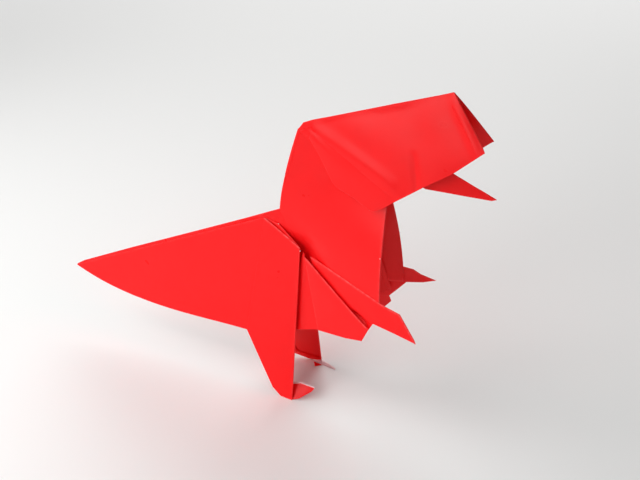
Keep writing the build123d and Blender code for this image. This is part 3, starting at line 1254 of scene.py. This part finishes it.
@dataclass
class Flanks(Assembly):
    """Flank pleats and belly flaps, which fan out below the hip point."""

    name: str = "flanks_and_belly"
    cell: float = 1.2
    fan: Pair = (1.2, 57.2)
    fan_width: float = 2.9
    low: Pair = (8.7, 32.1)
    low_width: float = 8.2
    tip: Pair = (28.1, 42.6)
    tip_width: float = 12.5
    slit: Pair = (21.4, 45.9)
    point: Pair = (29.5, 42.6)
    heel: Pair = (27.0, 36.7)
    keel: Pair = (20.5, 34.6)
    flap_lift: float = 0.3
    tuck: Pair = (-5.0, 26.2)
    tuck_depth: float = 1.6  # how far the flank's rear corner lies behind the leg
    low_overlap: Pair = (0.4, 0.1)  # how far the flank runs on under the flap at its low end
    fan_overlap: Pair = (0.6, -0.8)  # the same at the fan's centre
    far_keel: tuple[Pair, ...] = ((20.5, 33.6), (25.1, 33.2))
    far_end: tuple[Pair, ...] = ((27.2, 36.0), (26.5, 38.6))

    def add_side(self, sheet: Sheet, side: Side) -> None:
        """Adds the belly flap and the flank of one side."""
        self._flap(sheet, side)
        self._flank(sheet, side)

    def _flap(self, sheet: Sheet, side: Side) -> None:
        """Adds the belly flap of one side.

        Args:
            sheet: the piece's sheet.
            side: which side of the animal.
        """
        width = flat(
            (self.fan[0], self.fan_width, self.fan[1]),
            (self.tip[0], self.tip_width, self.tip[1]),
            (self.low[0], self.low_width, self.low[1]),
        )
        upper = [self.fan, self.slit, self.tip, self.point]
        lower, end = [self.low, self.keel, self.heel], []
        if side is Side.LEFT:
            upper = [self.fan, self.slit, self.far_end[1]]
            lower, end = [self.low, *self.far_keel], [self.far_end[0]]
        top, bottom, front = (
            self.line(side, width, points, self.flap_lift) for points in (upper, lower, end)
        )
        Leaf(
            bottom=bottom,
            top=top,
            right=[bottom[-1], *front, top[-1]],
            outward=self.out(side),
            bend=Bend(swell=0.25, ripple=0.08, wave=14.0, seed=4.0 + side.value),
            hems=(
                Hem("top", depth=2.0, radius=0.18, wear_and_highlight=0.5),
                Hem("left", depth=2.0, radius=0.18, wear_and_highlight=0.15),
            ),
            cell=self.cell,
        ).add_to(sheet)

    def _flank(self, sheet: Sheet, side: Side) -> None:
        """Adds the flank between leg and belly flap.

        Args:
            sheet: the piece's sheet.
            side: which side of the animal.
        """
        leg, layer = self.marks.leg_width(), self.marks.layer
        start = between(self.marks.hip_point, self.fan, 0.5)
        width = flat(
            (start[0], self.fan_width - layer, start[1]),
            (self.low[0], self.low_width - layer, self.low[1]),
            (self.tuck[0], leg(*self.tuck) - self.tuck_depth, self.tuck[1]),
        )
        Leaf(
            bottom=self.line(side, width, [self.tuck, offset(self.low, *self.low_overlap)]),
            top=self.line(side, width, [start, offset(start, *self.fan_overlap)]),
            outward=self.out(side),
            bend=Bend(swell=0.0, ripple=0.08, wave=12.0, seed=6.0),
            hems=(Hem("bottom", depth=2.0, radius=0.15, wear_and_highlight=0.0),),
            cell=self.cell,
        ).add_to(sheet)


@dataclass
class Neck(Assembly):
    """Neck and chest: two leaves joined along the spine and open at the front."""

    name: str = "neck_and_chest"
    low: float = 47.0
    throat: float = 87.4
    below_nape: float = 0.6  # how far the neck's top lies below the nape
    reach: float = 32.2
    taper: float = 2.4
    chest_width: float = 11.3
    throat_width: float = 1.5
    hollow: float = 0.07
    nape_bow: float = 0.95
    back_push: float = 0.45  # the back edge swells a little above the hip
    push_height: float = 5.0
    push_reach: float = 9.0
    pinch: float = 2.2  # how far the pleats draw the neck in at the hip point
    pinch_at: Pair = (1.5, 58.0)
    pinch_reach: float = 6.0
    pinch_limit: float = 0.8  # the largest share of the half width that it takes
    ripple: float = 0.25
    wave: float = 24.0
    seed: float = 3.1
    spine_share: float = 0.15  # the share of the width beside the spine that ripples less
    rows: int = 60
    spine_points: int = 12  # of the line along which the spine is rounded
    spine_columns: tuple[float, ...] = (0, 0.005, 0.012, 0.025)
    middle_columns: int = 22
    edge_columns: tuple[float, ...] = (0.975, 0.99, 1.0)
    lining: tuple[Triple, ...] = (  # as (x, half width, z), from the upper back round to the low back
        (13.0, 2.0, 52.0),
        (24.9, 8.0, 56.3),
        (28.2, 10.4, 42.8),
        (19.0, 3.5, 42.0),
    )

    @property
    def top(self) -> float:
        """Height of the neck's top."""
        return self.marks.nape[1] - self.below_nape

    def spine_x(self, z: float) -> float:
        """X of the neck's back edge.

        Args:
            z: height of the place.

        Returns:
            The place's X.
        """
        hip, nape = self.marks.hip, self.marks.nape
        share = max(0.0, (z - hip[1]) / (nape[1] - hip[1]))
        push = self.back_push * math.exp(-(((z - hip[1] - self.push_height) / self.push_reach) ** 2))
        return between(hip, nape, share)[0] - self.nape_bow * math.sin(math.pi * min(share, 1.0)) - push

    def edge(self, z: float) -> Pair:
        """Open front edge.

        Args:
            z: height of the place.

        Returns:
            Its X and its half width.
        """
        share = (self.throat - z) / (self.throat - self.low)
        spread = math.sin(math.radians(90 * min(max(share, 0.0), 1.0)))
        width = self.throat_width + (self.chest_width - self.throat_width) * spread
        return (self.reach - self.taper * (1 - share), width)

    def width(self, x: float, z: float) -> float:
        """Half width of the neck.

        Args:
            x: X of a side view point.
            z: its height.

        Returns:
            The half width there.
        """
        back, (front, width) = self.spine_x(z), self.edge(z)
        share = (x - back) / (front - back)
        away = math.hypot(x - self.pinch_at[0], z - self.pinch_at[1]) / self.pinch_reach
        drawn_in = min(self.pinch * math.exp(-away * away), self.pinch_limit * width * share)
        return width * share * (1 - 2 * self.hollow * (1 - share)) - drawn_in

    def add_side(self, sheet: Sheet, side: Side) -> None:
        """Adds one side of the neck and its lining."""
        self._outer(sheet, side)
        self._lining(sheet, side)

    def round_folds(self, sheet: Sheet) -> None:
        """Rounds the spine."""
        heights = np.linspace(self.low, self.top, self.spine_points)
        sheet.round_fold(*self.middle_line((self.spine_x(z), z) for z in heights))

    def _outer(self, sheet: Sheet, side: Side) -> None:
        """Adds one side of the neck.

        Args:
            sheet: the piece's sheet.
            side: which side of the animal.
        """
        heights = np.linspace(self.low, self.top, self.rows)
        middle = np.linspace(0.05, 0.95, self.middle_columns)
        shares = np.concatenate([self.spine_columns, middle, self.edge_columns])
        grid = np.zeros((len(heights), len(shares), 3))
        for j, z in enumerate(heights):
            back, (front, _) = self.spine_x(z), self.edge(z)
            for i, share in enumerate(shares):
                x = back + (front - back) * share
                wave = noise.noise(Vector((x / self.wave, self.seed * side.value, z / self.wave)))
                ease = min(1.0, share / self.spine_share)
                grid[j, i] = (x, side.value * (self.width(x, z) + self.ripple * wave * ease), z)
        sheet.add_grid(grid, self.out(side))
        sheet.add_hem(grid, self.edge_hem(side, "right", 4.0, 0.3), self.out(side))

    def _lining(self, sheet: Sheet, side: Side) -> None:
        """Adds the inner layer that shows through the open chest.

        Args:
            sheet: the piece's sheet.
            side: which side of the animal.
        """
        upper_back, upper_front, low_front, low_back = self.spots(side, self.lining)
        Leaf(
            bottom=[low_back, low_front],
            top=[upper_back, upper_front],
            outward=self.out(side),
            bend=Bend(swell=0.2, ripple=0.1, wave=10.0, seed=8.0),
            hems=(Hem("right", depth=1.5, radius=0.15, wear_and_highlight=0.0),),
            cell=1.4,
        ).add_to(sheet)


@dataclass
class Arms(Assembly):
    """Arms with a folded top edge."""

    name: str = "arms"
    shoulder: Pair = (3.3, 57.8)
    shoulder_width: float = 2.9
    wrist: Pair = (34.4, 52.3)
    wrist_width: float = 11.9
    elbow: Pair = (30.5, 44.3)
    root: Pair = (11.7, 38.5)
    behind_flap: Pair = (28.4, 40.2)
    lift: float = 0.05
    gap: tuple[Pair, Pair] = ((21.2, 45.3), (28.8, 42.2))  # the right arm dips beside the flap
    gap_depth: float = 1.8
    gap_width: float = 0.8
    right_hand: tuple[Pair, ...] = ((5.7, -0.3), (12.9, -7.8), (5.2, -7.8))  # from the wrist
    far_top: tuple[Pair, ...] = ((32.2, 53.4), (35.2, 52.7), (37.7, 50.8), (42.7, 48.6))
    far_palm: Pair = (38.5, 47.3)
    far_elbow: Pair = (32.9, 46.6)
    far_root: Pair = (26.9, 39.3)

    def add_side(self, sheet: Sheet, side: Side) -> None:
        """Adds one arm.

        Args:
            sheet: the piece's sheet.
            side: which side of the animal.
        """
        width = flat(
            (self.shoulder[0], self.shoulder_width, self.shoulder[1]),
            (self.wrist[0], self.wrist_width, self.wrist[1]),
            (self.elbow[0], self.wrist_width, self.elbow[1]),
        )
        if side is Side.RIGHT:
            knuckle, tip, palm = (offset(self.wrist, *move) for move in self.right_hand)
            upper, lower = [self.wrist, knuckle, tip], [self.behind_flap, self.elbow, palm, tip]
            dents = (Dent(*self.line(side, width, self.gap), -self.gap_depth, self.gap_width),)
        else:
            upper = list(self.far_top)
            lower = [self.far_root, self.far_elbow, self.far_palm, self.far_top[-1]]
            dents = ()
        Leaf(
            bottom=self.line(side, width, [self.root, *lower], self.lift),
            top=self.line(side, width, [self.shoulder, *upper], self.lift),
            outward=self.out(side),
            bend=Bend(swell=0.2, ripple=0.1, wave=12.0, seed=10.0 + side.value),
            hems=(self.edge_hem(side, "top", 3.0),),
            dents=dents,
            cell=0.75,
        ).add_to(sheet)


@dataclass
class Head(Assembly):
    """Head: a tent whose sides bend softly from the face into the cheek over the neck."""

    name: str = "head"
    cell: float = 1.1
    snout_depth: float = 19.3
    snout_slope: float = -50.4
    snout_width: float = 4.8
    far_snout: Pair = (61.0, 111.3)
    jowl: Pair = (34.8, 90.0)
    lip: tuple[Pair, ...] = ((43.6, 97.05), (51.9, 103.15))  # the lower edge from jowl to snout
    cheek: Pair = (27.0, 83.7)
    cheek_width: float = 6.2
    cheek_corner: tuple[Pair, ...] = ((25.45, 83.9), (27.3, 83.85), (29.45, 85.25))
    ridge_shares: tuple[float, ...] = (0.0, 0.05, 0.3, 0.7, 1.0)
    ridge_rise: tuple[float, ...] = (0.1, 0.4, 0.4, 0.4, 0.25)
    hang: Pair = (-0.3, -1.0)  # from the nape to the start of the rear edge
    rear: tuple[Pair, ...] = (
        (2.3, 101.9),
        (5.6, 97.6),
        (9.5, 91.6),
        (11.5, 88.7),
        (13.2, 87.65),
        (18.65, 86.3),
        (23.15, 84.8),
    )
    softness: float = 0.5  # how far the fold from crown to jowl is rounded off
    soft_from: float = 12.0  # distance from the crown at which it is fully soft
    stiff: float = 0.3  # half width up to which the ridge stays as it is
    pressed: tuple[tuple[Pair, Pair, float, float], ...] = (  # start, end, height and width
        ((38.6, 107.0), (41.8, 93.4), -0.38, 0.9),  # the pinch in the middle of the face
        ((2.0, 106.0), (34.5, 94.5), 0.55, 2.6),  # the brow along the soft fold
        ((48.0, 127.2), (61.0, 108.6), 0.55, 1.9),  # the roll behind the snout
    )

    def add_side(self, sheet: Sheet, side: Side) -> None:
        """Adds the face and the cheek of one side."""
        self._add_face(sheet, side)
        self._add_cheek(sheet, side)

    def round_folds(self, sheet: Sheet) -> None:
        """Softens the diagonal fold, then rounds the ridge and the bevel at the nape.

        Args:
            sheet: the piece's sheet.
        """
        ridge = self._ridge_points()
        self._soften(sheet)
        sheet.round_fold(*self.middle_line(ridge))
        sheet.round_fold(*self.middle_line([self.marks.nape, ridge[0]]), radius=0.5)

    def _ridge_points(self) -> list[Pair]:
        """Side view points of the head's ridge.

        Returns:
            The points from crown to nose.
        """
        crown, nose = self.marks.crown, self.marks.nose
        rises = zip(self.ridge_shares, self.ridge_rise)
        return [offset(between(crown, nose, share), 0.0, rise) for share, rise in rises]

    def _snout(self) -> Pair:
        """Lower corner of the right side's snout."""
        return step(self.marks.nose, self.snout_depth, self.snout_slope)

    def _face(self) -> Width:
        """Half width of the face.

        Returns:
            A function that gives the half width at a side view point.
        """
        crown, nose, snout = self.marks.crown, self.marks.nose, self._snout()
        return flat(
            (crown[0], 0.0, crown[1]),
            (nose[0], 0.0, nose[1]),
            (snout[0], self.snout_width, snout[1]),
        )

    def _cheek(self) -> Width:
        """Half width of the cheek.

        Returns:
            A function that gives the half width at a side view point.
        """
        crown = self.marks.crown
        return flat(
            (crown[0], 0.0, crown[1]),
            (self.jowl[0], self._face()(*self.jowl), self.jowl[1]),
            (self.cheek[0], self.cheek_width, self.cheek[1]),
        )

    def _soften(self, sheet: Sheet) -> None:
        """Rounds the soft fold between face and cheek.

        Args:
            sheet: the piece's sheet.
        """
        face, cheek, crown = self._face(), self._cheek(), self.marks.crown
        for vert in sheet.mesh.verts:
            x, y, z = vert.co
            if abs(y) < self.stiff:
                continue
            gap = abs(face(x, z) - cheek(x, z)) / 2
            depth = self.softness * min(1.0, math.hypot(x - crown[0], z - crown[1]) / self.soft_from)
            vert.co.y -= math.copysign(math.hypot(gap, depth) - gap, y)

    def _add_face(self, sheet: Sheet, side: Side) -> None:
        """Adds the face of one side.

        Args:
            sheet: the piece's sheet.
            side: which side of the animal.
        """
        face = self._face()
        snout = self._snout() if side is Side.RIGHT else self.far_snout
        low_jowl, low_snout = (self.spot(side, p, face(*p)) for p in (self.jowl, snout))
        Leaf(
            bottom=[low_jowl, *self.line(side, face, self.lip), low_snout],
            top=[self.spot(side, p, 0.0) for p in self._ridge_points()],
            outward=self.out(side),
            bend=Bend(swell=0.35, ripple=0.2, wave=16.0, seed=12.0 + side.value),
            hems=(self.edge_hem(side, "right", 2.5, 0.15),),
            dents=tuple(
                Dent(*self.line(side, face, (start, end)), height, width)
                for start, end, height, width in self.pressed
            ),
            held=("top", "left"),
            cell=self.cell,
        ).add_to(sheet)

    def _add_cheek(self, sheet: Sheet, side: Side) -> None:
        """Adds the cheek of one side.

        Args:
            sheet: the piece's sheet.
            side: which side of the animal.
        """
        cheek = self._cheek()
        crown = self.spot(side, self._ridge_points()[0], 0.0)
        low_jowl = self.spot(side, self.jowl, self._face()(*self.jowl))
        start = self.spot(side, offset(self.marks.nape, *self.hang), 0.0)
        rear = self.line(side, cheek, self.rear)
        first, second, third = self.line(side, cheek, self.cheek_corner)
        Leaf(
            bottom=[start, *rear, first, second],
            top=[crown, low_jowl],
            right=[second, third, low_jowl],
            outward=self.out(side),
            bend=Bend(swell=0.2, ripple=0.15, wave=12.0, seed=12.0 + side.value),
            hems=(Hem("bottom", depth=1.6, radius=0.3, wear_and_highlight=0.0),),
            held=("top", "left"),
            cell=self.cell,
        ).add_to(sheet)


@dataclass
class Jaw(Assembly):
    """Jaw: a narrow point folded along its top."""

    name: str = "jaw"
    tip: Pair = (64.9, 94.4)
    root: Pair = (36.5, 106.0)
    notch: Pair = (63.4, 93.7)
    low: Pair = (42.3, 93.4)
    low_width: float = 1.5
    hold: Pair = (31.0, 98.5)

    def add_side(self, sheet: Sheet, side: Side) -> None:
        """Adds one side of the jaw.

        Args:
            sheet: the piece's sheet.
            side: which side of the animal.
        """
        width = flat(
            (self.root[0], 0.0, self.root[1]),
            (self.tip[0], 0.0, self.tip[1]),
            (self.low[0], self.low_width, self.low[1]),
        )
        Leaf(
            bottom=self.line(side, width, [self.hold, self.low, self.notch]),
            top=[self.spot(side, self.root, 0.0), self.spot(side, self.tip, 0.0)],
            outward=self.out(side),
            bend=Bend(swell=0.1, ripple=0.05, wave=8.0, seed=14.0),
            held=("top",),
            cell=1.0,
        ).add_to(sheet)

    def round_folds(self, sheet: Sheet) -> None:
        """Rounds the jaw's top."""
        sheet.round_fold(*self.middle_line([self.root, self.tip]), radius=0.6)


@dataclass
class CutCorners(Assembly):
    """Tiny corners where the cut edge of the sheet shows its white core."""

    name: str = "cut_corners"
    rim: Rim = Rim.WHITE
    size: float = 0.42
    height_share: float = 0.7
    places: tuple[Triple, ...] = (  # as (x, half width, z)
        (-9.3, 1.6, 67.0),
        (-0.1, 3.9, 59.8),
        (20.9, 9.3, 44.7),
        (30.9, 8.75, 68.4),
    )

    def build(self) -> bpy.types.Object:
        """Builds the corners as small diamonds, which have no borders to weld.

        Returns:
            The finished piece.
        """
        sheet = Sheet(self.name)
        half = self.size / 2
        for x, width, z in self.places:
            for side in Side:
                up = half * self.height_share
                ring = [(x - half, z), (x, z - up), (x, z + up), (x + half, z)]
                rear, low, high, front = (self.spot(side, p, width) for p in ring)
                Leaf(
                    bottom=[rear, low],
                    top=[high, front],
                    outward=self.out(side),
                    bend=Bend(swell=0.0, ripple=0.0),
                    cell=0.3,
                    back=True,
                ).add_to(sheet)
        return sheet.finish(self.materials, self.rim)


# Stage


@dataclass(frozen=True)
class Softbox:
    """A square area lamp that looks at the dinosaur. Lengths are in metres."""

    name: str
    azimuth: float  # where it hangs, in degrees round from the side of -Y towards +X
    elevation: float
    distance: float
    size: float
    power: float
    spread: float = 120.0  # in degrees, narrow enough to keep the light off the table right below it

    AIM = (0.0, 0.0, 0.04)

    def build(self) -> bpy.types.Object:
        """Adds the lamp.

        Returns:
            The lamp.
        """
        turn, lift = math.radians(self.azimuth), math.radians(self.elevation)
        way = Vector((math.sin(turn) * math.cos(lift), -math.cos(turn) * math.cos(lift), math.sin(lift)))
        place = way * self.distance
        data = bpy.data.lights.new(self.name, "AREA")
        data.size = self.size
        data.energy = self.power
        data.spread = math.radians(self.spread)
        lamp = bpy.data.objects.new(self.name, data)
        lamp.location = place
        lamp.rotation_mode = "QUATERNION"
        lamp.rotation_quaternion = (Vector(self.AIM) - place).to_track_quat("-Z", "Y")
        bpy.context.scene.collection.objects.link(lamp)
        return lamp


@dataclass
class Stage:
    """Pale table, soft light and the camera. Lengths are in metres."""

    table_colour: Triple = (0.87, 0.87, 0.86)
    table_roughness: float = 0.6
    table_specular: float = 0.15
    table_size: float = 6.0
    ambient: float = 0.18
    backdrop: float = 0.85
    fade_reach: Pair = (0.3, 0.75)  # distances between which the table fades
    lamps: tuple[Softbox, ...] = (
        Softbox("window_behind", -165.0, 30.0, distance=1.4, size=1.1, power=9.0, spread=150.0),
        Softbox("window_left", -55.0, 50.0, distance=1.4, size=0.7, power=2.9, spread=150.0),
        Softbox("near_left", -80.0, 30.0, distance=0.4, size=0.25, power=0.27),
        Softbox("near_front", -20.0, 30.0, distance=0.4, size=0.25, power=0.33),
    )
    camera_at: Triple = (0.15436, -0.28220, 0.26641)
    azimuth: float = 25.0
    elevation: float = 33.0
    focal_px: float = 1100.0
    width_px: float = 640.0
    sensor_mm: float = 36.0
    clip: Pair = (0.01, 20.0)

    def build(self) -> None:
        """Builds the table, the light and the camera."""
        self._table()
        self._world()
        for lamp in self.lamps:
            lamp.build()
        self._camera()
        bpy.context.scene.view_settings.view_transform = "Standard"

    def _table(self) -> None:
        """Adds the table top."""
        half = self.table_size / 2
        corners = [(x * half, y * half, 0) for x, y in ((-1, -1), (1, -1), (1, 1), (-1, 1))]
        data = bpy.data.meshes.new("table")
        data.from_pydata(corners, [], [(0, 1, 2, 3)])
        table = bpy.data.objects.new("table", data)
        bpy.context.scene.collection.objects.link(table)
        data.materials.append(self._table_material())

    def _table_material(self) -> bpy.types.Material:
        """Makes the material, which turns into the pale backdrop away from the dinosaur.

        Returns:
            The material.
        """
        made = bpy.data.materials.new("pale_table")
        made.use_nodes = True
        nodes, links = made.node_tree.nodes, made.node_tree.links
        shader = nodes["Principled BSDF"]
        shader.inputs["Base Color"].default_value = (*self.table_colour, 1.0)
        shader.inputs["Roughness"].default_value = self.table_roughness
        shader.inputs["Specular IOR Level"].default_value = self.table_specular
        where, away = nodes.new("ShaderNodeTexCoord"), nodes.new("ShaderNodeVectorMath")
        away.operation = "LENGTH"
        links.new(where.outputs["Object"], away.inputs[0])
        fade = nodes.new("ShaderNodeMapRange")
        fade.interpolation_type = "SMOOTHSTEP"
        fade.inputs["From Min"].default_value, fade.inputs["From Max"].default_value = self.fade_reach
        links.new(away.outputs["Value"], fade.inputs["Value"])
        path, seen = nodes.new("ShaderNodeLightPath"), nodes.new("ShaderNodeMath")
        seen.operation = "MULTIPLY"
        links.new(fade.outputs["Result"], seen.inputs[0])
        links.new(path.outputs["Is Camera Ray"], seen.inputs[1])
        pale, mixed = nodes.new("ShaderNodeEmission"), nodes.new("ShaderNodeMixShader")
        pale.inputs["Strength"].default_value = self.backdrop
        links.new(seen.outputs[0], mixed.inputs["Fac"])
        links.new(shader.outputs["BSDF"], mixed.inputs[1])
        links.new(pale.outputs["Emission"], mixed.inputs[2])
        links.new(mixed.outputs["Shader"], nodes["Material Output"].inputs["Surface"])
        return made

    def _world(self) -> None:
        """Sets a weak even light, and a pale backdrop where it is seen or mirrored."""
        world = bpy.data.worlds.new("room")
        bpy.context.scene.world = world
        world.use_nodes = True
        nodes, links = world.node_tree.nodes, world.node_tree.links
        background = nodes["Background"]
        background.inputs["Color"].default_value = (1.0, 1.0, 1.0, 1.0)
        path = nodes.new("ShaderNodeLightPath")
        seen = path.outputs["Is Camera Ray"]
        for kind in ("Is Glossy Ray", "Is Transmission Ray"):
            either = nodes.new("ShaderNodeMath")
            either.operation = "MAXIMUM"
            links.new(seen, either.inputs[0])
            links.new(path.outputs[kind], either.inputs[1])
            seen = either.outputs[0]
        strength = nodes.new("ShaderNodeMapRange")
        strength.inputs["To Min"].default_value = self.ambient
        strength.inputs["To Max"].default_value = self.backdrop
        links.new(seen, strength.inputs["Value"])
        links.new(strength.outputs["Result"], background.inputs["Strength"])

    def _camera(self) -> None:
        """Adds the camera at the photograph's angle."""
        data = bpy.data.cameras.new("camera")
        data.sensor_width = self.sensor_mm
        data.lens = self.sensor_mm * self.focal_px / self.width_px
        data.clip_start, data.clip_end = self.clip
        camera = bpy.data.objects.new("camera", data)
        camera.location = self.camera_at
        camera.rotation_euler = (math.radians(90 - self.elevation), 0.0, math.radians(self.azimuth))
        bpy.context.scene.collection.objects.link(camera)
        bpy.context.scene.camera = camera


# The whole dinosaur


def main() -> None:
    """Builds the dinosaur piece by piece, then the stage."""
    group = PaperGroup().build()
    # The pale colour along the folds is partly wear of the dye and partly a painted highlight.
    red = PaperFinish("red_paper_face", (0.97, 0.005, 0.007), wear_and_highlight=(1.0, 0.16, 0.16), roughness=0.33)
    # The white back is tinted pink: painted red light bounced from the red faces.
    white = PaperFinish("white_paper_back", (0.95, 0.68, 0.69), wear_and_highlight=(0.95, 0.8, 0.8))
    materials = [finish.material(group) for finish in (red, white)]
    marks = Landmarks()
    for kind in (TailAndLegs, Back, Feet, Flanks, Neck, Arms, Head, Jaw, CutCorners):
        piece = kind(marks, materials).build()
    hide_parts(NODE)
    Stage().build()


if __name__ == "__main__":
    main()
